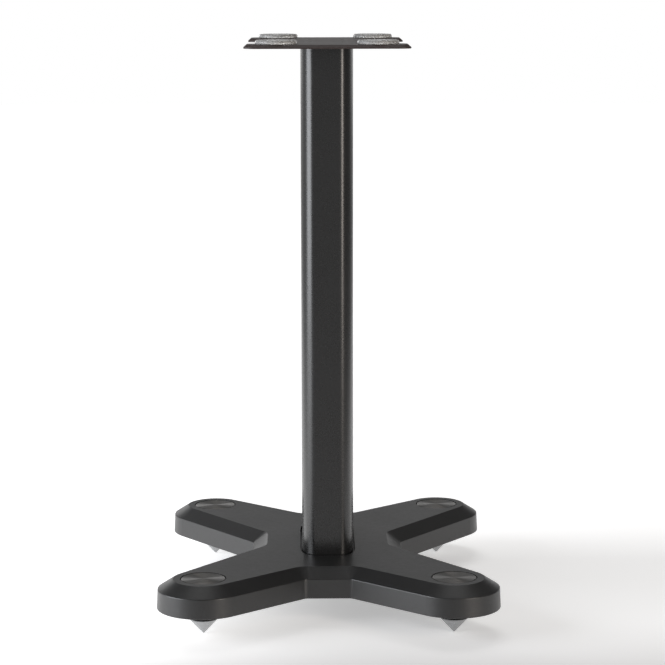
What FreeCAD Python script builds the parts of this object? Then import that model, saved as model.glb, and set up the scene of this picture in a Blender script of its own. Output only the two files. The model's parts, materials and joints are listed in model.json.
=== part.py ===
import FreeCAD, Part
import math
import os

# Floor-standing loudspeaker stand: an X-shaped cast base on four levelling spikes, a deep
# oblong column and an H-shaped top plate with four gel pads.
# Millimetres, +Z up. X is the width and Y the depth, with the front at -Y. The origin is on the
# floor, midway between the four spike tips, straight under the centre of the column.

V = FreeCAD.Vector
X_AXIS = V(1, 0, 0)
Y_AXIS = V(0, 1, 0)
Z_AXIS = V(0, 0, 1)

# Levels above the floor
BASE_BOTTOM = 27.5          # lower rim of the casting
BEVEL_START = 48.0          # where the side wall turns into the sloping bevel
BASE_TOP = 58.0             # flat top of the casting
PLATE_TOP = 600.0           # steel surface that carries the pads

# Plan of the casting's flat top face; every other outline is this one, offset
SPIKE_X = 129.0             # half of the spike spacing across
SPIKE_Y = 162.5             # half of the spike spacing front to back
ARM_END_RADIUS = 31.5       # round end of an arm, about its spike
FRONT_VALLEY_Y = 117.2      # flat stretch between the two front arms, and between the rear ones
FRONT_VALLEY_HALF = 29.6
SIDE_VALLEY_X = 65.5        # flat stretch between a front arm and the rear arm behind it
SIDE_VALLEY_HALF = 27.5
VALLEY_RADIUS = 22.0        # inner corners between a flat stretch and an arm

BEVEL_WIDTH = 15.5          # horizontal width of the bevel round the top face
WALL_DRAFT = 1.0            # the side wall leans out by this much on its way down
CREST_RADIUS = 1.2          # edges above and below the bevel
RIM_RADIUS = 0.8            # lower rim

# Underside of the casting
WALL = 5.0
SKIN = 5.0
RIB = 5.0
RIB_BOTTOM = BASE_BOTTOM + 3.0
CROSS_RIB_PLACES = (62.0, 112.0, 160.0)   # from the centre, along an arm's own direction
CROSS_RIB_LENGTH = 150.0
FOOT_PAD_BOTTOM = 44.0      # thick seat under the column
FOOT_PAD_MARGIN = 8.0

# Column profile
COLUMN_HALF_WIDTH = 27.5
COLUMN_HALF_DEPTH = 71.0
COLUMN_FLAT_HALF = 12.5     # flat of the front and rear faces
COLUMN_FLANK_HALF = 45.0    # straight stretch of the flanks; the corners between are elliptic
COLUMN_WALL = 3.0
WEB_Y = 30.0                # two inner webs, three chambers
PORT_X = 17.5               # four screw ports, outside the webs
PORT_Y = 37.5
PORT_RADIUS = 6.2
POCKET_DEPTH = 5.0          # the column's foot stands in a pocket of the casting
POCKET_GAP = 2.0            # shadow gap round the foot
GASKET = 1.0
GASKET_INSET = 0.8

# Column screws, M6
SCREW_RADIUS = 3.0
THREAD_FIT = 0.03
CLEARANCE_HOLE = 3.3
CAP_HEAD_RADIUS = 5.0
CAP_HEAD_HEIGHT = 6.0
CAP_SOCKET_AF = 5.0
CAP_SOCKET_DEPTH = 3.0
CAP_HEAD_EDGE = 0.4
CAP_SCREW_LENGTH = 30.0
WASHER_RADIUS = 6.0
WASHER_THICKNESS = 1.6
WASHER_ROOM = 1.0           # between a washer and the recess that takes it
COUNTERSUNK_RADIUS = 6.0
COUNTERSUNK_LAND = 0.3      # short straight rim above the 90 degree cone
COUNTERSUNK_LENGTH = 25.0
COUNTERSUNK_SOCKET_AF = 4.0
COUNTERSUNK_SOCKET_DEPTH = 2.2
SEAT_FIT = 0.05

# Top plate and pads
PLATE_THICKNESS = 4.0
PLATE_HALF_WIDTH = 85.0
PLATE_HALF_DEPTH = 127.0
PLATE_NOTCH_HALF = 78.0     # half length of the side notch between two tongues
PLATE_SPINE_HALF = 40.0     # half width of the plate between its two notches
PLATE_CORNER = 12.0
PLATE_INNER_CORNER = 14.0
PLATE_BEVEL = 3.0           # width of the bevel all round the upper edge
PLATE_LIP = 1.4             # upright rim left under the bevel
PLATE_EDGE = 0.3            # lower edge
PAD_X = 52.0
PAD_Y = 102.5
PAD_RADIUS = 21.4
PAD_HEIGHT = 4.3
PAD_EDGE = 1.2

# Levelling foot: the flush dial on top turns the spike through a hexagonal key, and the spike's
# thread climbs in a fixed bush
RECESS_DEPTH = 4.0
RECESS_RADIUS = 23.7
DIAL_RADIUS = 22.8
DIAL_SUNK = 0.2             # below the top face
DIAL_LIFT = 0.05            # above the recess floor
DIAL_EDGE = 0.5
HUB_RADIUS = 9.0
HUB_BOTTOM = 46.5
HUB_FIT = 0.05
DIAL_FLOOR = 4.0            # metal between the recess and the chamber below it
KEY_AF = 6.0
KEY_BOTTOM = 25.5
KEY_FIT = 0.05
CIRCLIP_TOP = 49.75
CIRCLIP_THICKNESS = 1.2
CIRCLIP_RADIUS = 11.6
GROOVE_RADIUS = 8.0
GROOVE_FIT = 0.03
CIRCLIP_GAP = 50.0          # degrees
LUG_RADIUS = 1.9
LUG_HOLE = 0.8
BOSS_RADIUS = 18.5
BUSH_RADIUS = 13.0
BUSH_FIT = 0.03
BUSH_TOP = 41.5
SPIKE_RADIUS = 15.2
CONE_HEIGHT = 16.0
TIP_RADIUS = 0.4
COLLAR_HEIGHT = 2.6
COLLAR_CHAMFER = 0.8
SHANK_RADIUS = 7.0          # M14 x 1.5
SHANK_FIT = 0.05
SHANK_TOP = 41.5
SHANK_CHAMFER = 0.9
SOCKET_BOTTOM = 19.5

CORNERS = {
    "front_left": (-1, -1),
    "front_right": (1, -1),
    "rear_left": (-1, 1),
    "rear_right": (1, 1),
}
PORTS = [(sx * PORT_X, sy * PORT_Y) for sx in (-1, 1) for sy in (-1, 1)]


def save(shape, name):
    """Write one node as a STEP file and print its solids and volume."""
    if not shape.isValid():
        raise ValueError(name + " is not a valid shape")
    shape.exportStep("parts/" + name + ".step")
    print(name, "solids", len(shape.Solids), "volume", round(shape.Volume, 1))


def cylinder(radius, bottom, top, x=0.0, y=0.0):
    return Part.makeCylinder(radius, top - bottom, V(x, y, bottom), Z_AXIS)


def line(a, b):
    return Part.LineSegment(a, b).toShape()


def arc(a, middle, b):
    return Part.Arc(a, middle, b).toShape()


def closed_wire(edges):
    return Part.Wire(Part.__sortEdges__(edges))


def extrude(wire, height):
    return Part.Face(wire).extrude(V(0, 0, height))


def turned(points):
    """Solid of revolution about Z through (radius, height) points, from the axis to the axis."""
    profile = [V(r, 0, z) for r, z in points]
    wire = Part.makePolygon(profile + [profile[0]])
    return Part.Face(wire).revolve(V(0, 0, 0), Z_AXIS, 360)


def hexagon_prism(across_flats, bottom, top):
    radius = across_flats / math.sqrt(3.0)
    corners = []
    for step in range(7):
        angle = math.radians(60.0 * step)
        corners.append(V(radius * math.cos(angle), radius * math.sin(angle), bottom))
    return extrude(Part.makePolygon(corners), top - bottom)


def placed(shape, x, y):
    copy = shape.copy()
    copy.translate(V(x, y, 0))
    return copy


# ---------------------------------------------------------------- casting

def tangent_angles():
    """Directions of an arm's two long edges, each tangent to the arm's round end."""
    front_run = math.hypot(SPIKE_X - FRONT_VALLEY_HALF, SPIKE_Y - FRONT_VALLEY_Y)
    front_rise = math.atan2(SPIKE_Y - FRONT_VALLEY_Y, SPIKE_X - FRONT_VALLEY_HALF)
    side_run = math.hypot(SPIKE_X - SIDE_VALLEY_X, SPIKE_Y - SIDE_VALLEY_HALF)
    side_rise = math.atan2(SPIKE_Y - SIDE_VALLEY_HALF, SPIKE_X - SIDE_VALLEY_X)
    front = front_rise + math.asin(ARM_END_RADIUS / front_run)
    side = side_rise - math.asin(ARM_END_RADIUS / side_run)
    return front, side


def quarter_points(offset):
    """Outline of the quarter with positive X and Y, as named points in the plane."""
    front, side = tangent_angles()
    radius = ARM_END_RADIUS + offset
    corner = VALLEY_RADIUS - offset
    end = V(SPIKE_X, SPIKE_Y, 0)
    front_run = V(math.cos(front), math.sin(front), 0)
    side_run = V(math.cos(side), math.sin(side), 0)
    front_out = V(-math.sin(front), math.cos(front), 0)
    side_out = V(math.sin(side), -math.cos(side), 0)
    front_touch = end + front_out * radius
    side_touch = end + side_out * radius
    flat_y = FRONT_VALLEY_Y + offset
    flat_x = SIDE_VALLEY_X + offset
    front_bend = front_touch - front_run * ((front_touch.y - flat_y) / front_run.y)
    side_bend = side_touch - side_run * ((side_touch.x - flat_x) / side_run.x)
    front_length = corner * math.tan(front / 2.0)
    side_turn = math.pi / 2.0 - side
    side_length = corner * math.tan(side_turn / 2.0)
    outward = V(SPIKE_X, SPIKE_Y, 0).normalize()
    side_start = side_bend - Y_AXIS * side_length
    front_stop = front_bend - X_AXIS * front_length
    side_centre = side_start + X_AXIS * corner
    front_centre = front_stop + Y_AXIS * corner
    return {
        "side_start": side_start,
        "side_middle": side_centre + (side_bend - side_centre).normalize() * corner,
        "side_stop": side_bend + side_run * side_length,
        "side_touch": side_touch,
        "end_middle": end + outward * radius,
        "front_touch": front_touch,
        "front_start": front_bend + front_run * front_length,
        "front_middle": front_centre + (front_bend - front_centre).normalize() * corner,
        "front_stop": front_stop,
    }


def base_outline(offset, level):
    """The casting's outline at one level, offset outward from its top face."""
    quarter = quarter_points(offset)
    edges = []
    for sx, sy in CORNERS.values():
        at = {name: V(sx * p.x, sy * p.y, level) for name, p in quarter.items()}
        edges.append(arc(at["side_start"], at["side_middle"], at["side_stop"]))
        edges.append(line(at["side_stop"], at["side_touch"]))
        edges.append(arc(at["side_touch"], at["end_middle"], at["front_touch"]))
        edges.append(line(at["front_touch"], at["front_start"]))
        edges.append(arc(at["front_start"], at["front_middle"], at["front_stop"]))
    for sign in (-1, 1):
        side = quarter["side_start"]
        front = quarter["front_stop"]
        edges.append(line(V(sign * side.x, -side.y, level), V(sign * side.x, side.y, level)))
        edges.append(line(V(-front.x, sign * front.y, level), V(front.x, sign * front.y, level)))
    return closed_wire(edges)


def layered(sections):
    """Solid through outlines given as (offset, level), bottom first."""
    wires = [base_outline(offset, level) for offset, level in sections]
    return Part.makeLoft(wires, True, True)


def edges_at(shape, level):
    """The edges that lie wholly on one level."""
    found = []
    for edge in shape.Edges:
        box = edge.BoundBox
        if abs(box.ZMin - level) < 1e-3 and abs(box.ZMax - level) < 1e-3:
            found.append(edge)
    return found


def casting_block():
    block = layered([
        (BEVEL_WIDTH + WALL_DRAFT, BASE_BOTTOM),
        (BEVEL_WIDTH, BEVEL_START),
        (0.0, BASE_TOP),
    ])
    block = block.makeFillet(CREST_RADIUS, edges_at(block, BASE_TOP) + edges_at(block, BEVEL_START))
    return block.makeFillet(RIM_RADIUS, edges_at(block, BASE_BOTTOM))


def casting_cavity():
    """Hollow under the casting: it follows the walls, the bevel and the top at a wall's distance."""
    slope = (BASE_TOP - BEVEL_START) / BEVEL_WIDTH
    drop = WALL * math.hypot(1.0, slope)
    inner_wall = BEVEL_WIDTH - WALL
    knee = BEVEL_START + WALL * slope - drop
    ceiling = BASE_TOP - SKIN
    ceiling_offset = inner_wall - (ceiling - knee) / slope
    return layered([
        (inner_wall + WALL_DRAFT, BASE_BOTTOM),
        (inner_wall, knee),
        (ceiling_offset, ceiling),
    ])


def ribs():
    """Ribs along each arm, across it, and along both centre lines."""
    height = BASE_TOP - RIB_BOTTOM
    reach = math.hypot(SPIKE_X, SPIKE_Y)
    heading = math.degrees(math.atan2(SPIKE_Y, SPIKE_X))
    bars = [
        Part.makeBox(2 * SIDE_VALLEY_X, RIB, height, V(-SIDE_VALLEY_X, -RIB / 2, RIB_BOTTOM)),
        Part.makeBox(RIB, 2 * FRONT_VALLEY_Y, height, V(-RIB / 2, -FRONT_VALLEY_Y, RIB_BOTTOM)),
    ]
    for sx, sy in CORNERS.values():
        angle = heading if sx * sy > 0 else -heading
        if sx < 0:
            angle += 180.0
        arm = [Part.makeBox(reach, RIB, height, V(0, -RIB / 2, RIB_BOTTOM))]
        for place in CROSS_RIB_PLACES:
            corner = V(place - RIB / 2, -CROSS_RIB_LENGTH / 2, RIB_BOTTOM)
            arm.append(Part.makeBox(RIB, CROSS_RIB_LENGTH, height, corner))
        for bar in arm:
            bar.rotate(V(0, 0, 0), Z_AXIS, angle)
            bars.append(bar)
    return bars


def base_casting():
    cavity = casting_cavity()
    fillings = ribs()
    foot_pad = column_outline(FOOT_PAD_MARGIN, FOOT_PAD_BOTTOM)
    fillings.append(extrude(foot_pad, BASE_TOP - FOOT_PAD_BOTTOM))
    for sx, sy in CORNERS.values():
        fillings.append(cylinder(BOSS_RADIUS, BASE_BOTTOM, BASE_TOP, sx * SPIKE_X, sy * SPIKE_Y))
    shape = casting_block().cut(cavity.cut(fillings))
    pocket = extrude(column_outline(POCKET_GAP, BASE_TOP - POCKET_DEPTH), POCKET_DEPTH)
    cuts = [pocket]
    recess_floor = BASE_TOP - RECESS_DEPTH
    for sx, sy in CORNERS.values():
        x = sx * SPIKE_X
        y = sy * SPIKE_Y
        cuts.append(cylinder(RECESS_RADIUS, recess_floor, BASE_TOP, x, y))
        cuts.append(cylinder(HUB_RADIUS + HUB_FIT, BASE_BOTTOM, recess_floor, x, y))
        cuts.append(cylinder(BUSH_RADIUS, BASE_BOTTOM, recess_floor - DIAL_FLOOR, x, y))
    for x, y in PORTS:
        cuts.append(cylinder(CLEARANCE_HOLE, FOOT_PAD_BOTTOM, BASE_TOP, x, y))
        cuts.append(cylinder(WASHER_RADIUS + WASHER_ROOM, BASE_BOTTOM, FOOT_PAD_BOTTOM, x, y))
    return shape.cut(cuts).removeSplitter()


# ---------------------------------------------------------------- column

def column_outline(offset, level):
    """Oblong with flat front, rear and flanks and elliptic corners, offset outward."""
    wide = COLUMN_HALF_WIDTH - COLUMN_FLAT_HALF + offset
    deep = COLUMN_HALF_DEPTH - COLUMN_FLANK_HALF + offset
    edges = []
    for sx, sy in CORNERS.values():
        centre = V(sx * COLUMN_FLAT_HALF, sy * COLUMN_FLANK_HALF, level)
        ellipse = Part.Ellipse(centre + Y_AXIS * sy * deep, centre + X_AXIS * sx * wide, centre)
        edges.append(Part.ArcOfEllipse(ellipse, 0, math.pi / 2).toShape())
    x = COLUMN_HALF_WIDTH + offset
    y = COLUMN_HALF_DEPTH + offset
    for sign in (-1, 1):
        edges.append(line(V(sign * x, -COLUMN_FLANK_HALF, level),
                          V(sign * x, COLUMN_FLANK_HALF, level)))
        edges.append(line(V(-COLUMN_FLAT_HALF, sign * y, level),
                          V(COLUMN_FLAT_HALF, sign * y, level)))
    return closed_wire(edges)


def column_extrusion():
    bottom = BASE_TOP - POCKET_DEPTH + GASKET
    top = PLATE_TOP - PLATE_THICKNESS - GASKET
    height = top - bottom
    outside = extrude(column_outline(0.0, bottom), height)
    inside = extrude(column_outline(-COLUMN_WALL, bottom), height)
    keep = []
    for sign in (-1, 1):
        corner = V(-COLUMN_HALF_WIDTH, sign * WEB_Y - COLUMN_WALL / 2, bottom)
        keep.append(Part.makeBox(2 * COLUMN_HALF_WIDTH, COLUMN_WALL, height, corner))
    for x, y in PORTS:
        keep.append(cylinder(PORT_RADIUS, bottom, top, x, y))
    bores = [cylinder(SCREW_RADIUS + THREAD_FIT, bottom, top, x, y) for x, y in PORTS]
    return outside.cut(inside.cut(keep)).cut(bores).removeSplitter()


def gasket(level):
    """Thin rubber sheet under or over the column, a little inside its outline."""
    sheet = extrude(column_outline(-GASKET_INSET, level), GASKET)
    holes = [cylinder(CLEARANCE_HOLE, level, level + GASKET, x, y) for x, y in PORTS]
    return sheet.cut(holes)


def base_screw():
    """Socket-head cap screw, head down, at the origin."""
    seat = FOOT_PAD_BOTTOM - WASHER_THICKNESS
    head = cylinder(CAP_HEAD_RADIUS, seat - CAP_HEAD_HEIGHT, seat)
    head = head.makeChamfer(CAP_HEAD_EDGE, edges_at(head, seat - CAP_HEAD_HEIGHT))
    shank = cylinder(SCREW_RADIUS, seat, seat + CAP_SCREW_LENGTH)
    socket_bottom = seat - CAP_HEAD_HEIGHT
    socket = hexagon_prism(CAP_SOCKET_AF, socket_bottom, socket_bottom + CAP_SOCKET_DEPTH)
    return head.fuse(shank).cut(socket)


def base_washer():
    bottom = FOOT_PAD_BOTTOM - WASHER_THICKNESS
    ring = cylinder(WASHER_RADIUS, bottom, FOOT_PAD_BOTTOM)
    return ring.cut(cylinder(CLEARANCE_HOLE, bottom, FOOT_PAD_BOTTOM))


def countersunk_profile(clearance):
    """Profile of a 90 degree countersunk head flush with the plate, grown by a clearance."""
    rim = COUNTERSUNK_RADIUS + clearance
    shank = SCREW_RADIUS + clearance
    land = PLATE_TOP - COUNTERSUNK_LAND - clearance
    neck = land - (rim - shank)
    return rim, shank, land, neck


def plate_screw():
    rim, shank, land, neck = countersunk_profile(0.0)
    bottom = PLATE_TOP - COUNTERSUNK_LENGTH
    body = turned([(0, bottom), (shank, bottom), (shank, neck), (rim, land),
                   (rim, PLATE_TOP), (0, PLATE_TOP)])
    socket_bottom = PLATE_TOP - COUNTERSUNK_SOCKET_DEPTH
    return body.cut(hexagon_prism(COUNTERSUNK_SOCKET_AF, socket_bottom, PLATE_TOP))


def group(shape, places):
    """Separate copies of one solid, as one node."""
    return Part.makeCompound([placed(shape, x, y) for x, y in places])


# ---------------------------------------------------------------- top plate and pads

def plate_outline(inset, level):
    """H shape: a spine with four tongues, their outer corners rounded, drawn in by an inset."""
    spine = PLATE_SPINE_HALF - inset
    wide = PLATE_HALF_WIDTH - inset
    deep = PLATE_HALF_DEPTH - inset
    notch = PLATE_NOTCH_HALF + inset
    outer = PLATE_CORNER - inset
    inner = PLATE_INNER_CORNER + inset
    corners = [
        (spine, 0.0, 0.0),
        (spine, notch, inner),
        (wide, notch, outer),
        (wide, deep, outer),
        (0.0, deep, 0.0),
    ]
    edges = []
    for sx, sy in CORNERS.values():
        start = V(sx * corners[0][0], 0, level)
        for index in range(1, len(corners) - 1):
            x, y, radius = corners[index]
            bend = V(sx * x, sy * y, level)
            back = V(sx * corners[index - 1][0], sy * corners[index - 1][1], level)
            ahead = V(sx * corners[index + 1][0], sy * corners[index + 1][1], level)
            into = (back - bend).normalize()
            out = (ahead - bend).normalize()
            first = bend + into * radius
            last = bend + out * radius
            middle = bend + (into + out) * (radius * (1.0 - math.sqrt(0.5)))
            edges.append(line(start, first))
            edges.append(arc(first, middle, last))
            start = last
        edges.append(line(start, V(0, sy * corners[-1][1], level)))
    return closed_wire(edges)


def top_plate():
    bottom = PLATE_TOP - PLATE_THICKNESS
    lip_top = bottom + PLATE_LIP
    rim = extrude(plate_outline(0.0, bottom), PLATE_LIP)
    rim = rim.makeChamfer(PLATE_EDGE, edges_at(rim, bottom))
    crown_outlines = [plate_outline(0.0, lip_top), plate_outline(PLATE_BEVEL, PLATE_TOP)]
    plate = rim.fuse(Part.makeLoft(crown_outlines, True, True)).removeSplitter()
    head, shank, land, neck = countersunk_profile(SEAT_FIT)
    seat = turned([(0, bottom), (shank, bottom), (shank, neck), (head, land),
                   (head, PLATE_TOP), (0, PLATE_TOP)])
    return plate.cut([placed(seat, x, y) for x, y in PORTS]).removeSplitter()


def gel_pad():
    pad = cylinder(PAD_RADIUS, PLATE_TOP, PLATE_TOP + PAD_HEIGHT)
    return pad.makeFillet(PAD_EDGE, edges_at(pad, PLATE_TOP + PAD_HEIGHT))


# ---------------------------------------------------------------- levelling foot

def levelling_dial():
    """Flush disc with a grooved hub and a hexagonal key that reaches down into the spike."""
    bottom = BASE_TOP - RECESS_DEPTH + DIAL_LIFT
    top = BASE_TOP - DIAL_SUNK
    groove_bottom = CIRCLIP_TOP - CIRCLIP_THICKNESS
    body = turned([
        (0, HUB_BOTTOM), (HUB_RADIUS, HUB_BOTTOM), (HUB_RADIUS, groove_bottom),
        (GROOVE_RADIUS, groove_bottom), (GROOVE_RADIUS, CIRCLIP_TOP), (HUB_RADIUS, CIRCLIP_TOP),
        (HUB_RADIUS, bottom), (DIAL_RADIUS, bottom), (DIAL_RADIUS, top - DIAL_EDGE),
        (DIAL_RADIUS - DIAL_EDGE, top), (0, top),
    ])
    return body.fuse(hexagon_prism(KEY_AF, KEY_BOTTOM, HUB_BOTTOM))


def dial_circlip():
    """Open retaining ring with two eyes, in the hub's groove."""
    bottom = CIRCLIP_TOP - CIRCLIP_THICKNESS
    inner = GROOVE_RADIUS + GROOVE_FIT
    ring = cylinder(CIRCLIP_RADIUS, bottom, CIRCLIP_TOP)
    half = math.radians(CIRCLIP_GAP / 2)
    reach = 2 * CIRCLIP_RADIUS
    side = [V(0, 0, bottom), V(reach * math.cos(half), -reach * math.sin(half), bottom),
            V(reach * math.cos(half), reach * math.sin(half), bottom), V(0, 0, bottom)]
    ring = ring.cut(extrude(Part.makePolygon(side), CIRCLIP_THICKNESS))
    middle = (inner + CIRCLIP_RADIUS) / 2
    for sign in (-1, 1):
        x = middle * math.cos(half)
        y = sign * (middle * math.sin(half) + LUG_RADIUS / 2)
        ring = ring.fuse(cylinder(LUG_RADIUS, bottom, CIRCLIP_TOP, x, y))
        ring = ring.cut(cylinder(LUG_HOLE, bottom, CIRCLIP_TOP, x, y))
    return ring.cut(cylinder(inner, bottom, CIRCLIP_TOP)).removeSplitter()


def spike_bush():
    """Brass bush pressed into the casting; the spike's thread runs in it."""
    body = cylinder(BUSH_RADIUS - BUSH_FIT, BASE_BOTTOM, BUSH_TOP)
    return body.cut(cylinder(SHANK_RADIUS + SHANK_FIT, BASE_BOTTOM, BUSH_TOP))


def spike():
    """Steel cone with a collar and a threaded shank, hollow for the dial's key."""
    collar_top = CONE_HEIGHT + COLLAR_HEIGHT
    body = turned([
        (0, 0), (TIP_RADIUS, 0), (SPIKE_RADIUS, CONE_HEIGHT),
        (SPIKE_RADIUS, collar_top - COLLAR_CHAMFER), (SPIKE_RADIUS - COLLAR_CHAMFER, collar_top),
        (SHANK_RADIUS, collar_top), (SHANK_RADIUS, SHANK_TOP - SHANK_CHAMFER),
        (SHANK_RADIUS - SHANK_CHAMFER, SHANK_TOP), (0, SHANK_TOP),
    ])
    return body.cut(hexagon_prism(KEY_AF + 2 * KEY_FIT, SOCKET_BOTTOM, SHANK_TOP))


def main():
    os.makedirs("parts", exist_ok=True)
    save(base_casting(), "base_casting")
    save(column_extrusion(), "column_extrusion")
    save(gasket(BASE_TOP - POCKET_DEPTH), "column_foot_gasket")
    save(gasket(PLATE_TOP - PLATE_THICKNESS - GASKET), "column_top_gasket")
    save(group(base_screw(), PORTS), "base_to_column_screws")
    save(group(base_washer(), PORTS), "base_screw_washers")
    save(top_plate(), "top_plate")
    save(group(plate_screw(), PORTS), "top_plate_screws")
    for corner, (sx, sy) in CORNERS.items():
        x = sx * SPIKE_X
        y = sy * SPIKE_Y
        save(placed(levelling_dial(), x, y), corner + "_levelling_dial")
        save(placed(dial_circlip(), x, y), corner + "_dial_circlip")
        save(placed(spike_bush(), x, y), corner + "_spike_bush")
        save(placed(spike(), x, y), corner + "_spike")
        save(placed(gel_pad(), sx * PAD_X, sy * PAD_Y), corner + "_gel_pad")


main()
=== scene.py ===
import json
import math

import bpy
from mathutils import Matrix, Vector


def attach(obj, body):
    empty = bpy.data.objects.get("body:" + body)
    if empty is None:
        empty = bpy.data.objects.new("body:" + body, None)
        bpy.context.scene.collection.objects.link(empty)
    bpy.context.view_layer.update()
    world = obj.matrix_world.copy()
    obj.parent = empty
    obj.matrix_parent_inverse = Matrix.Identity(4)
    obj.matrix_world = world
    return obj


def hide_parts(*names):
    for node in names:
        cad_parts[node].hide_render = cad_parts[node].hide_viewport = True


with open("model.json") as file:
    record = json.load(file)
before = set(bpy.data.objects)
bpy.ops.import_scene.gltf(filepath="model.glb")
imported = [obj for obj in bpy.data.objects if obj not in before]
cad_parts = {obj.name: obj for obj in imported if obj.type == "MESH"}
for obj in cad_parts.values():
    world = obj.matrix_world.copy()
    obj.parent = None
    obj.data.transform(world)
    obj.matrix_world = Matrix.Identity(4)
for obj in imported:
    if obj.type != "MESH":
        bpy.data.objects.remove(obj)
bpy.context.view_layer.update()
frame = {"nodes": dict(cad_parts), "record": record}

# ---------------------------------------------------------------- places, in metres
SPIKE_X = 0.129
SPIKE_Y = 0.1625
CORNERS = {
    "front_left": (-1, -1),
    "front_right": (1, -1),
    "rear_left": (-1, 1),
    "rear_right": (1, 1),
}

NODES = frame["nodes"]


# ---------------------------------------------------------------- node helpers
class Graph:
    """A node tree of a material or of the world."""

    def __init__(self, owner):
        owner.use_nodes = True
        self.nodes = owner.node_tree.nodes
        self.links = owner.node_tree.links

    def add(self, kind, **settings):
        node = self.nodes.new(kind)
        for key, value in settings.items():
            setattr(node, key, value)
        return node

    def link(self, source, target):
        self.links.new(source, target)

    def math(self, operation, a, b=None):
        node = self.add("ShaderNodeMath", operation=operation)
        for socket, value in zip(node.inputs, (a, b)):
            if value is None:
                continue
            if isinstance(value, (int, float)):
                socket.default_value = value
            else:
                self.link(value, socket)
        return node.outputs["Value"]

    def blend(self, first, second, share):
        """Weighted sum, in which share is the weight of first."""
        return self.math("ADD", self.math("MULTIPLY", first, share),
                         self.math("MULTIPLY", second, 1.0 - share))

    def split(self, vector):
        node = self.add("ShaderNodeSeparateXYZ")
        self.link(vector, node.inputs["Vector"])
        return [node.outputs[axis] for axis in "XYZ"]

    def spread(self, value, low, high, from_low=0.3, from_high=0.7, soft=False):
        """Map a range of values to another, with eased ends when soft."""
        node = self.add("ShaderNodeMapRange")
        node.interpolation_type = "SMOOTHSTEP" if soft else "LINEAR"
        for key, number in (("From Min", from_low), ("From Max", from_high),
                            ("To Min", low), ("To Max", high)):
            node.inputs[key].default_value = number
        self.link(value, node.inputs["Value"])
        return node.outputs["Result"]


class Shader(Graph):
    """A material's node tree around one Principled shader."""

    def __init__(self, name):
        self.material = bpy.data.materials.new(name)
        super().__init__(self.material)
        self.bsdf = self.nodes["Principled BSDF"]
        self.place = self.add("ShaderNodeTexCoord").outputs["Object"]

    def set(self, **values):
        for key, value in values.items():
            self.bsdf.inputs[key.replace("_", " ")].default_value = value

    def noise(self, scale, detail=2.0, roughness=0.5, vector=None):
        node = self.add("ShaderNodeTexNoise")
        node.inputs["Scale"].default_value = scale
        node.inputs["Detail"].default_value = detail
        node.inputs["Roughness"].default_value = roughness
        self.link(vector or self.place, node.inputs["Vector"])
        return node.outputs["Fac"]

    def shades(self, value, stops):
        """Colour ramp through (position, colour) stops."""
        node = self.add("ShaderNodeValToRGB")
        ramp = node.color_ramp
        while len(ramp.elements) < len(stops):
            ramp.elements.new(0.5)
        for element, (position, colour) in zip(ramp.elements, stops):
            element.position = position
            element.color = (*colour, 1.0)
        self.link(value, node.inputs["Fac"])
        return node.outputs["Color"]

    def bump(self, height, distance, strength, under=None):
        node = self.add("ShaderNodeBump")
        node.inputs["Distance"].default_value = distance
        node.inputs["Strength"].default_value = strength
        self.link(height, node.inputs["Height"])
        if under is not None:
            self.link(under, node.inputs["Normal"])
        return node.outputs["Normal"]

    def connect(self, colour, roughness, normal):
        for key, value in (("Base Color", colour), ("Roughness", roughness), ("Normal", normal)):
            self.link(value, self.bsdf.inputs[key])
        return self.material


# ---------------------------------------------------------------- materials
PAINT_IOR = 1.68
PLATE_IOR = 1.5
PEEL_SIZE = 9.0             # size of the orange peel against that of the fine grain
CLOUD_SCALE = 14.0          # slow change of tone over the whole piece
PAINT_DARK = 0.72
PAINT_LIGHT = 1.32
PAINT_UNEVEN = 0.035
FINE_RELIEF = 0.75          # depth of the fine grain against the peel's
RELIEF_STRENGTH = 0.5

MARK_STRETCH = 12.0         # noise cells a metre along the turning marks
MARK_DEPTH = 0.00001
MARK_STRENGTH = 0.8
METAL_DARK = 0.86
METAL_LIGHT = 1.1
SMUDGE_SCALE = 60.0
SMOOTHER = 0.05
ROUGHER = 0.06


def powder_coat(name, colour, roughness, grain, relief_depth, ior=PAINT_IOR):
    """Baked powder coat: orange peel a few millimetres across under a fine satin grain."""
    s = Shader(name)
    s.set(IOR=ior)
    fine = s.noise(grain, 3.0, 0.6)
    peel = s.noise(grain / PEEL_SIZE)
    cloud = s.noise(CLOUD_SCALE, 3.0)
    dark = tuple(c * PAINT_DARK for c in colour)
    light = tuple(c * PAINT_LIGHT for c in colour)
    tone = s.shades(s.blend(fine, cloud, 0.65), ((0.36, dark), (0.52, colour), (0.68, light)))
    rough = s.spread(s.blend(peel, cloud, 0.5), roughness - PAINT_UNEVEN, roughness + PAINT_UNEVEN)
    relief = s.bump(peel, relief_depth, RELIEF_STRENGTH)
    relief = s.bump(fine, relief_depth * FINE_RELIEF, RELIEF_STRENGTH, relief)
    return s.connect(tone, rough, relief)


def turned_metal(name, colour, roughness, pitch):
    """Lathe-turned metal, with marks as rings round the vertical axis."""
    s = Shader(name)
    s.set(Metallic=1.0)
    x, y, z = s.split(s.place)
    squeeze = s.add("ShaderNodeCombineXYZ")
    for axis, value, factor in (("Z", z, 1.0 / pitch), ("X", x, MARK_STRETCH), ("Y", y, MARK_STRETCH)):
        s.link(s.math("MULTIPLY", value, factor), squeeze.inputs[axis])
    marks = s.noise(1.0, 3.0, 0.6, squeeze.outputs["Vector"])
    smudge = s.noise(SMUDGE_SCALE, 3.0)
    dark = tuple(c * METAL_DARK for c in colour)
    light = tuple(c * METAL_LIGHT for c in colour)
    tone = s.shades(marks, ((0.35, dark), (0.5, colour), (0.65, light)))
    rough = s.spread(smudge, roughness - SMOOTHER, roughness + ROUGHER)
    return s.connect(tone, rough, s.bump(marks, MARK_DEPTH, MARK_STRENGTH))


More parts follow.
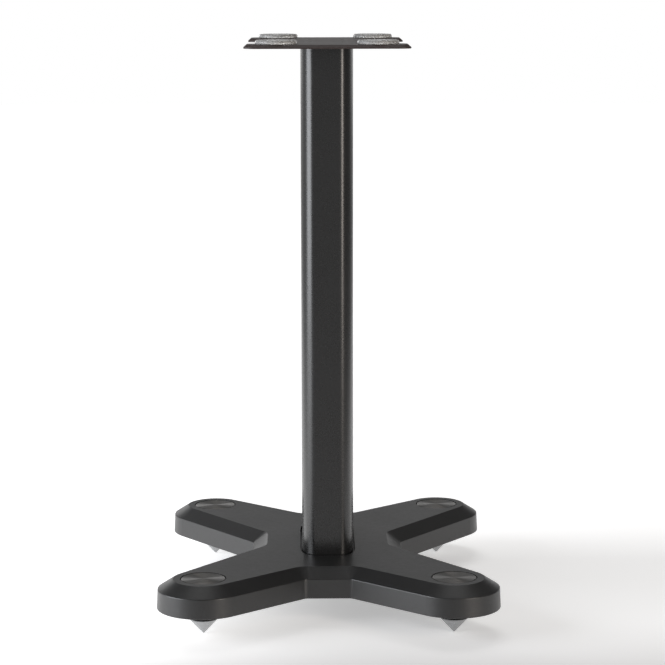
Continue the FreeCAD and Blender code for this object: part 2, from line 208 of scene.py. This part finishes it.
def bronze_dial():
    """Dark bronze-grey metal that shines in wedges, because its marks run round the centre."""
    s = Shader("turned_dial")
    s.set(Metallic=1.0, Anisotropic=0.92, Anisotropic_Rotation=0.25)
    tangent = s.add("ShaderNodeTangent", direction_type="RADIAL", axis="Z")
    s.link(tangent.outputs["Tangent"], s.bsdf.inputs["Tangent"])
    fleck = s.noise(900.0, 3.0, 0.6)
    cloud = s.noise(40.0)
    tone = s.shades(s.blend(fleck, cloud, 0.4), (
        (0.38, (0.105, 0.100, 0.094)),
        (0.50, (0.135, 0.129, 0.122)),
        (0.62, (0.165, 0.158, 0.150)),
    ))
    return s.connect(tone, s.spread(cloud, 0.30, 0.36), s.bump(fleck, 0.000008, 0.5))


def foam_rubber():
    """Matt black foam with fine open cells."""
    s = Shader("gasket_rubber")
    s.set(Specular_IOR_Level=0.25)
    cells = s.noise(1500.0, 4.0, 0.7)
    tone = s.shades(cells, ((0.35, (0.006, 0.006, 0.006)), (0.65, (0.016, 0.016, 0.016))))
    return s.connect(tone, s.spread(cells, 0.75, 0.9), s.bump(cells, 0.0001, 0.8))


def silicone():
    """Milky gel that lets some of the light through."""
    s = Shader("silicone_gel")
    s.set(Subsurface_Weight=0.35, Subsurface_Radius=(1.0, 1.0, 1.0), Subsurface_Scale=0.004,
          Transmission_Weight=0.55, IOR=1.41)
    haze = s.noise(260.0, 3.0)
    bloom = s.noise(420.0, 1.0)
    tone = s.shades(haze, ((0.35, (0.78, 0.775, 0.76)), (0.65, (0.88, 0.875, 0.86))))
    return s.connect(tone, s.spread(haze, 0.24, 0.31), s.bump(bloom, 0.00002, 0.4))


PAINTS = (
    ("cast_paint", (0.011, 0.011, 0.0112), 0.40, 2100.0, 0.00004, PAINT_IOR),
    ("column_paint", (0.008, 0.008, 0.0082), 0.28, 2400.0, 0.0000015, PAINT_IOR),
    ("plate_paint", (0.040, 0.027, 0.0255), 0.465, 2100.0, 0.00004, PLATE_IOR),
)
METALS = (
    ("bright_steel", (0.35, 0.355, 0.36), 0.27, 0.0004),
    ("plated_steel", (0.52, 0.53, 0.54), 0.34, 0.0006),
    ("brass", (0.62, 0.46, 0.22), 0.30, 0.0005),
    ("black_screw", (0.045, 0.045, 0.047), 0.38, 0.0007),
)
MATERIALS = {
    **{row[0]: powder_coat(*row) for row in PAINTS},
    **{row[0]: turned_metal(*row) for row in METALS},
    "turned_dial": bronze_dial(),
    "gasket_rubber": foam_rubber(),
    "silicone_gel": silicone(),
}


def paint(obj, slot):
    """Give every material slot of an object the finish of that record slot."""
    mesh = obj.data
    if not mesh.materials:
        mesh.materials.append(None)
    for slot_now in obj.material_slots:
        slot_now.link = "OBJECT"
        slot_now.material = MATERIALS[slot]


for part in frame["record"]["subparts"]:
    if part["node"] in NODES:
        paint(NODES[part["node"]], part["material_slot"])


# ---------------------------------------------------------------- mesh helpers
def new_object(name, vertices, faces, smooth=True):
    """Put an object with a mesh of these points and faces into the scene."""
    mesh = bpy.data.meshes.new(name)
    mesh.from_pydata(vertices, [], faces)
    mesh.validate()
    mesh.update()
    if smooth:
        mesh.polygons.foreach_set("use_smooth", [True] * len(mesh.polygons))
    obj = bpy.data.objects.new(name, mesh)
    bpy.context.scene.collection.objects.link(obj)
    return obj


def add_ring(vertices, centre, height, radii):
    """Add one point for each radius, evenly round the centre, and return their numbers."""
    start = len(vertices)
    for step, radius in enumerate(radii):
        turn = 2.0 * math.pi * step / len(radii)
        vertices.append((centre[0] + radius * math.cos(turn),
                         centre[1] + radius * math.sin(turn), height))
    return list(range(start, start + len(radii)))


def bridge(faces, low, high):
    """Faces between two rings, or a fan where one of them is a single point."""
    count = max(len(low), len(high))
    for step in range(count):
        after = (step + 1) % count
        if len(low) == 1:
            faces.append((low[0], high[after], high[step]))
        elif len(high) == 1:
            faces.append((low[step], low[after], high[0]))
        else:
            faces.append((low[step], low[after], high[after], high[step]))


def lathe(profile, segments, centre):
    """Skin of revolution through (radius, height) points, a single point at radius zero."""
    vertices, faces, rings = [], [], []
    for radius, height in profile:
        if radius == 0.0:
            rings.append([len(vertices)])
            vertices.append((centre[0], centre[1], height))
        else:
            rings.append(add_ring(vertices, centre, height, [radius] * segments))
    for low, high in zip(rings, rings[1:]):
        bridge(faces, low, high)
    return vertices, faces


def hexagon(across_flats, bottom, top, centre, vertices, faces):
    """Closed hexagonal bar."""
    radii = [across_flats / math.sqrt(3.0)] * 6
    low = add_ring(vertices, centre, bottom, radii)
    high = add_ring(vertices, centre, top, radii)
    faces.append(tuple(reversed(low)))
    faces.append(tuple(high))
    bridge(faces, low, high)


# ---------------------------------------------------------------- gel pads
PLATE_TOP = 0.600
PAD_X = 0.052
PAD_Y = 0.1025
PAD_RADIUS = 0.0214
PAD_HEIGHT = 0.0043
PAD_AROUND = 96
PAD_MIDDLE = 0.3            # radius of the top's innermost ring against the pad's
# Inset and rise from the foot's edge, then inset and drop from the top's edge.
PAD_SIDE = ((0.0007, 0.0), (0.0001, 0.0005), (0.0, 0.0016), (0.0001, 0.0026), (0.0005, 0.0034))
PAD_CROWN = ((0.0013, 0.00014), (0.0026, 0.00001), (0.0050, 0.0), (0.0058, 0.00025),
             (0.0066, 0.00025), (0.0074, 0.0))


def gel_pad(name, centre):
    """Low puck: a flat top with a shallow ring in it, a soft shoulder and a slightly bulged side."""
    top = PLATE_TOP + PAD_HEIGHT
    profile = [(0.0, PLATE_TOP)]
    profile += [(PAD_RADIUS - inset, PLATE_TOP + rise) for inset, rise in PAD_SIDE]
    profile += [(PAD_RADIUS - inset, top - drop) for inset, drop in PAD_CROWN]
    profile += [(PAD_RADIUS * PAD_MIDDLE, top), (0.0, top)]
    vertices, faces = lathe(profile, PAD_AROUND, centre)
    return new_object(name, vertices, faces)


for corner, (sx, sy) in CORNERS.items():
    pad = gel_pad("gel_pad_" + corner, (sx * PAD_X, sy * PAD_Y))
    paint(pad, "silicone_gel")
    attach(pad, "stand")
    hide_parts(corner + "_gel_pad")


# ---------------------------------------------------------------- levelling dials
DIAL_RADIUS = 0.0228
DIAL_TOP = 0.0578
DIAL_BOTTOM = 0.05405
DIAL_CHAMFER = 0.0003
DIAL_EDGE = ((0.0, 0.0005), (0.0002, 0.00018), (0.0005, 0.0))   # inset and drop
DIAL_AROUND = 112
GROOVE_INSET = 0.0009       # from the rim to the outermost turning mark
GROOVE_PITCH = 0.0008
GROOVE_DEPTH = 0.000018
GROOVE_STEPS = 4.0
HUB_RADIUS = 0.009
HUB_BOTTOM = 0.0465
CLIP_RADIUS = 0.008
CLIP_BOTTOM = 0.04855
CLIP_TOP = 0.04975
KEY_AF = 0.006
KEY_BOTTOM = 0.0255
KEY_OVERLAP = 0.0001
DIAL_SHARP = math.radians(40)


def dial(name, centre):
    """Disc with real concentric turning marks, its grooved hub and its hexagonal key."""
    profile = [
        (0.0, HUB_BOTTOM), (HUB_RADIUS - DIAL_CHAMFER, HUB_BOTTOM),
        (HUB_RADIUS, HUB_BOTTOM + DIAL_CHAMFER), (HUB_RADIUS, CLIP_BOTTOM),
        (CLIP_RADIUS, CLIP_BOTTOM), (CLIP_RADIUS, CLIP_TOP), (HUB_RADIUS, CLIP_TOP),
        (HUB_RADIUS, DIAL_BOTTOM), (DIAL_RADIUS - DIAL_CHAMFER, DIAL_BOTTOM),
        (DIAL_RADIUS, DIAL_BOTTOM + DIAL_CHAMFER),
    ]
    profile += [(DIAL_RADIUS - inset, DIAL_TOP - drop) for inset, drop in DIAL_EDGE]
    edge = DIAL_RADIUS - GROOVE_INSET
    count = int(edge / (GROOVE_PITCH / GROOVE_STEPS))
    for step in range(count):
        radius = edge * (1.0 - step / count)
        wave = 0.5 - 0.5 * math.cos(2.0 * math.pi * radius / GROOVE_PITCH)
        profile.append((radius, DIAL_TOP - GROOVE_DEPTH * wave))
    profile.append((0.0, DIAL_TOP))
    vertices, faces = lathe(profile, DIAL_AROUND, centre)
    hexagon(KEY_AF, KEY_BOTTOM, HUB_BOTTOM + KEY_OVERLAP, centre, vertices, faces)
    obj = new_object(name, vertices, faces)
    obj.data.set_sharp_from_angle(angle=DIAL_SHARP)
    return obj


for corner, (sx, sy) in CORNERS.items():
    disc = dial("dial_" + corner, (sx * SPIKE_X, sy * SPIKE_Y))
    paint(disc, "turned_dial")
    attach(disc, corner + "_dial")
    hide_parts(corner + "_levelling_dial")


# ---------------------------------------------------------------- spikes
CONE_RADIUS = 0.0152
CONE_HEIGHT = 0.0160
CONE_RINGS = 10
CONE_END = (0.00055, 0.0006)                                    # inset and drop
CONE_EDGE = ((0.00014, -0.00020), (0.0, 0.0003), (0.00015, 0.0006))   # inset and rise
TIP_RADIUS = 0.0004
TIP = ((0.0, 0.0), (0.00028, 0.00004), (0.00052, 0.00026))      # radius and height
COLLAR_TOP = 0.0186
COLLAR_EDGE = ((0.0011, 0.0005), (0.0016, 0.0))                 # inset and drop
THREAD_RADIUS = 0.007
THREAD_PITCH = 0.0015
THREAD_DEPTH = 0.0008
THREAD_BOTTOM = COLLAR_TOP + 0.0012
THREAD_TOP = 0.0409
THREAD_STEPS = 6.0          # levels in one pitch
FLANK_SLOPE = 2.6           # how quickly the thread rises to its crest
FLANK_START = 0.15
SHANK_TOP = 0.0415
RIM_RADIUS = 0.0052
SOCKET_AF = 0.0061
SOCKET_BOTTOM = 0.0195
SPIKE_AROUND = 72
SPIKE_SHARP = math.radians(35)


def cone_profile():
    """Blunt tip, cone, chamfered collar and the root of the shank."""
    root = THREAD_RADIUS - THREAD_DEPTH
    reach = CONE_RADIUS - CONE_END[0] - TIP_RADIUS
    profile = list(TIP)
    for step in range(1, CONE_RINGS + 1):
        share = step / CONE_RINGS
        profile.append((TIP_RADIUS + reach * share, (CONE_HEIGHT - CONE_END[1]) * share))
    profile += [(CONE_RADIUS - inset, CONE_HEIGHT + rise) for inset, rise in CONE_EDGE]
    profile += [(CONE_RADIUS - inset, COLLAR_TOP - drop) for inset, drop in COLLAR_EDGE]
    return profile + [(root, COLLAR_TOP), (root, THREAD_BOTTOM)]


def thread_radii(height):
    """Radii round the shank at a height: one helical thread that runs out at both ends."""
    ends = min(height - THREAD_BOTTOM, THREAD_TOP - height)
    fade = min(1.0, max(0.0, ends / THREAD_PITCH))
    radii = []
    for step in range(SPIKE_AROUND):
        phase = (height / THREAD_PITCH - step / SPIKE_AROUND) % 1.0
        crest = FLANK_SLOPE * (0.5 - abs(phase - 0.5)) - FLANK_START
        crest = min(1.0, max(0.0, crest))
        radii.append(THREAD_RADIUS - THREAD_DEPTH + THREAD_DEPTH * crest * fade)
    return radii


def socket_radii():
    """Radii of the socket's hexagon at each step round it."""
    side = math.pi / 3.0
    turns = (2.0 * math.pi * step / SPIKE_AROUND for step in range(SPIKE_AROUND))
    return [SOCKET_AF / 2.0 / math.cos(turn % side - side / 2.0) for turn in turns]


def spike(name, centre):
    """Turned cone with a chamfered collar, a helical M14 thread and a hexagonal socket."""
    vertices, faces = lathe(cone_profile(), SPIKE_AROUND, centre)
    ring = list(range(len(vertices) - SPIKE_AROUND, len(vertices)))
    length = THREAD_TOP - THREAD_BOTTOM
    levels = int(length / (THREAD_PITCH / THREAD_STEPS))
    rings = []
    for level in range(1, levels + 1):
        height = THREAD_BOTTOM + length * level / levels
        rings.append((height, thread_radii(height)))
    rings.append((SHANK_TOP, [RIM_RADIUS] * SPIKE_AROUND))
    rings.append((SHANK_TOP, socket_radii()))
    rings.append((SOCKET_BOTTOM, socket_radii()))
    for height, radii in rings:
        fresh = add_ring(vertices, centre, height, radii)
        bridge(faces, ring, fresh)
        ring = fresh
    faces.append(tuple(ring))
    obj = new_object(name, vertices, faces)
    obj.data.set_sharp_from_angle(angle=SPIKE_SHARP)
    return obj


for corner, (sx, sy) in CORNERS.items():
    cone = spike("spike_" + corner, (sx * SPIKE_X, sy * SPIKE_Y))
    paint(cone, "bright_steel")
    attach(cone, corner + "_foot")
    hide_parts(corner + "_spike")


# ---------------------------------------------------------------- floor
FLOOR_RINGS = (0.0, 0.5, 1.5, 4.0, 9.0)
FLOOR_AROUND = 96
FLOOR_COLOUR = 0.86
FLOOR_ROUGHNESS = 0.9
LEAST_REACH = 0.01          # keeps a direction finite at the origin

# The glow that camera, glossy and transmission rays see on the floor, where 1 is white; where it is
# uneven, it is painted light and shade on the floor, which the object also shows in its reflections.
# Each pair is a range in metres, or in parts of one for a direction, over which a glow changes.
GLOW_LEFT = 1.00            # round the object, at its left and at its right: painted light, brighter at the left
GLOW_RIGHT = 0.42
GLOW_BEHIND = 0.64          # the sweep behind it, near and far
GLOW_FAR = 0.95
PAINTED_POOL_GLOW = 1.0             # painted pool of light under the left softbox
GLOW_ROUND = 0.24           # all round, and painted shade in the dim sector to the right
GLOW_DIM = 0.03
NEAR_REACH = (0.5, 1.0)
NEAR_FRONT = (-0.45, -0.10)
NEAR_SIDES = (-0.30, 0.05)
SWEEP_EDGE = (0.45, 1.35)
SWEEP_GROWTH = 0.16
SWEEP_FRONT = (-0.3, 0.4)
SWEEP_REACH = (0.5, 3.0)
LAMP_FRONT = (-0.80, -0.45)
LAMP_REAR = (0.10, 0.40)
LAMP_SIDE = (-0.30, -0.70)
LAMP_REACH = (3.2, 7.5)
ROUND_REACH = (1.0, 3.0)
DIM_SECTOR = (0.55, 0.85)   # share of a direction that points to the right


def seen_by(graph):
    """1 for camera, glossy and transmission rays, 0 for the others."""
    path = graph.add("ShaderNodeLightPath").outputs
    both = graph.math("MAXIMUM", path["Is Camera Ray"], path["Is Glossy Ray"])
    return graph.math("MAXIMUM", both, path["Is Transmission Ray"])


def floor_glow(s):
    """Strength of the floor's glow, from the place on the floor: a white sweep behind, painted light
    round the object and under the left softbox, and painted shade to the right.
    """
    x, y, _ = s.split(s.place)
    reach = s.math("SQRT", s.math("ADD", s.math("MULTIPLY", x, x), s.math("MULTIPLY", y, y)))
    away = s.math("MAXIMUM", reach, LEAST_REACH)
    # Painted light round the object, brighter at its left than at its right.
    near = s.math("MULTIPLY", s.spread(reach, 1.0, 0.0, *NEAR_REACH, soft=True),
                  s.spread(y, 0.0, 1.0, *NEAR_FRONT, soft=True))
    near = s.math("MULTIPLY", near, s.spread(x, GLOW_LEFT, GLOW_RIGHT, *NEAR_SIDES, soft=True))

    widening = s.math("MULTIPLY", s.math("MAXIMUM", y, 0.0), SWEEP_GROWTH)
    edge = s.math("SUBTRACT", s.math("ABSOLUTE", x), widening)
    sweep = s.math("MULTIPLY", s.spread(edge, 1.0, 0.0, *SWEEP_EDGE, soft=True),
                   s.spread(y, 0.0, 1.0, *SWEEP_FRONT, soft=True))
    sweep = s.math("MULTIPLY", sweep, s.spread(reach, GLOW_BEHIND, GLOW_FAR, *SWEEP_REACH))

    # Painted pool of light on the floor under the left softbox.
    heading = s.math("DIVIDE", y, away)
    painted_pool = s.math("MULTIPLY", s.spread(heading, 0.0, 1.0, *LAMP_FRONT, soft=True),
                 s.spread(heading, 1.0, 0.0, *LAMP_REAR, soft=True))
    painted_pool = s.math("MULTIPLY", painted_pool, s.spread(x, 0.0, PAINTED_POOL_GLOW, *LAMP_SIDE, soft=True))
    painted_pool = s.math("MULTIPLY", painted_pool, s.spread(reach, 1.0, 0.0, *LAMP_REACH, soft=True))

    # Painted shade on the floor in the dim sector to the right, which darkens it in reflections too.
    dim = s.spread(s.math("DIVIDE", x, away), GLOW_ROUND, GLOW_DIM, *DIM_SECTOR, soft=True)
    ring = s.math("MULTIPLY", dim, s.spread(reach, 0.0, 1.0, *ROUND_REACH))
    glow = s.math("MAXIMUM", near, sweep)
    return s.math("MAXIMUM", s.math("MAXIMUM", glow, painted_pool), ring)


def make_floor():
    """Pale floor that takes the lamps' light and glows for some kinds of ray, with painted light and
    shade in its glow.
    """
    rings = [(radius, 0.0) for radius in FLOOR_RINGS]
    vertices, faces = lathe(rings, FLOOR_AROUND, (0.0, 0.0))
    floor = new_object("floor", vertices, faces, smooth=False)
    s = Shader("pale_floor")
    s.set(Base_Color=(FLOOR_COLOUR, FLOOR_COLOUR, FLOOR_COLOUR, 1.0), Roughness=FLOOR_ROUGHNESS,
          Specular_IOR_Level=0.0)
    light = s.add("ShaderNodeEmission")
    s.link(s.math("MULTIPLY", floor_glow(s), seen_by(s)), light.inputs["Strength"])
    both = s.add("ShaderNodeAddShader")
    s.link(s.bsdf.outputs["BSDF"], both.inputs[0])
    s.link(light.outputs["Emission"], both.inputs[1])
    s.link(both.outputs["Shader"], s.nodes["Material Output"].inputs["Surface"])
    floor.data.materials.append(s.material)


# ---------------------------------------------------------------- world and lamps
HORIZON = 0.32              # low down away from the sweep, and in the dim sector
HORIZON_DIM = 0.07
OVERHEAD = 0.10
LOW_DOWN = (0.0, 0.40)      # upward share of a direction, from white to overhead
STRAIGHT_BEHIND = (0.5, 0.95)

AIM = Vector((0.0, 0.0, 0.28))
HALF_SPREAD = math.radians(65.0)
# Power that a lamp of this spread needs for the radiance that it would have without one.
SPREAD_SHARE = 1.0 - HALF_SPREAD / math.tan(HALF_SPREAD)
WHITE = (1.0, 1.0, 1.0)

# Name, azimuth in degrees from the front and positive to the stand's left, distance, height,
# width and height of the lamp, radiance towards the stand, colour.
SOFTBOXES = (
    ("left_softbox", 74.0, 2.2, 0.75, (1.9, 1.5), 6.3, (0.93, 0.955, 1.0)),
    ("right_softbox", -43.0, 2.4, 0.80, (0.8, 1.6), 6.9, (1.0, 0.91, 0.83)),
    ("top_softbox", 180.0, 1.3, 3.0, (1.8, 1.4), 2.7, WHITE),
    ("back_softbox", 156.0, 3.0, 0.95, (1.3, 0.8), 1.45, WHITE),
)


def make_world():
    """White low down behind the object, dimmer to the sides, the front and overhead."""
    world = bpy.data.worlds.new("studio")
    bpy.context.scene.world = world
    g = Graph(world)
    x, y, z = g.split(g.add("ShaderNodeTexCoord").outputs["Generated"])
    low = g.spread(z, 1.0, 0.0, *LOW_DOWN, soft=True)
    dim = g.spread(x, HORIZON, HORIZON_DIM, *DIM_SECTOR, soft=True)
    behind = g.math("MAXIMUM", g.spread(y, 0.0, 1.0, *STRAIGHT_BEHIND, soft=True), dim)
    glow = g.math("MULTIPLY", g.math("MULTIPLY", low, behind), 1.0 - OVERHEAD)
    back = g.nodes["Background"]
    back.inputs["Color"].default_value = (*WHITE, 1.0)
    g.link(g.math("ADD", glow, OVERHEAD), back.inputs["Strength"])


def softbox(name, azimuth, distance, height, size, radiance, colour):
    """Rectangular lamp, narrowed so that its light stays off the floor at its own foot."""
    lamp = bpy.data.lights.new(name, "AREA")
    lamp.shape = "RECTANGLE"
    lamp.size, lamp.size_y = size
    lamp.spread = 2.0 * HALF_SPREAD
    lamp.energy = radiance * math.pi * size[0] * size[1] * SPREAD_SHARE
    lamp.color = colour
    obj = bpy.data.objects.new(name, lamp)
    bpy.context.scene.collection.objects.link(obj)
    turn = math.radians(azimuth)
    place = Vector((-math.sin(turn) * distance, -math.cos(turn) * distance, height))
    obj.location = place
    obj.rotation_mode = "QUATERNION"
    obj.rotation_quaternion = (AIM - place).to_track_quat("-Z", "Y")
    obj.visible_camera = False


make_floor()
make_world()
for row in SOFTBOXES:
    softbox(*row)


# ---------------------------------------------------------------- camera
CAMERA_PLACE = Vector((-0.02334, -2.43298, 0.67830))
CAMERA_YAW = math.radians(0.6936)
CAMERA_PITCH = math.radians(9.1386)
CAMERA_ROLL = math.radians(-0.092)
CAMERA_LENS = 123.34
SENSOR = 36.0
CLIP = (0.05, 60.0)


def make_camera():
    """Camera at the photo's angle. Yaw turns it to the right, pitch tips it down."""
    sine, cosine = math.sin(CAMERA_YAW), math.cos(CAMERA_YAW)
    level = math.cos(CAMERA_PITCH)
    right = Vector((cosine, -sine, 0.0))
    ahead = Vector((sine * level, cosine * level, -math.sin(CAMERA_PITCH)))
    up = right.cross(ahead)
    rolled_right = right * math.cos(CAMERA_ROLL) + up * math.sin(CAMERA_ROLL)
    rolled_up = up * math.cos(CAMERA_ROLL) - right * math.sin(CAMERA_ROLL)
    turn = Matrix((rolled_right, rolled_up, -ahead)).transposed().to_4x4()
    data = bpy.data.cameras.new("camera")
    data.sensor_fit = "HORIZONTAL"
    data.sensor_width = SENSOR
    data.lens = CAMERA_LENS
    data.clip_start, data.clip_end = CLIP
    obj = bpy.data.objects.new("camera", data)
    bpy.context.scene.collection.objects.link(obj)
    obj.matrix_world = Matrix.Translation(CAMERA_PLACE) @ turn
    bpy.context.scene.camera = obj


make_camera()
bpy.context.scene.view_settings.view_transform = "Standard"
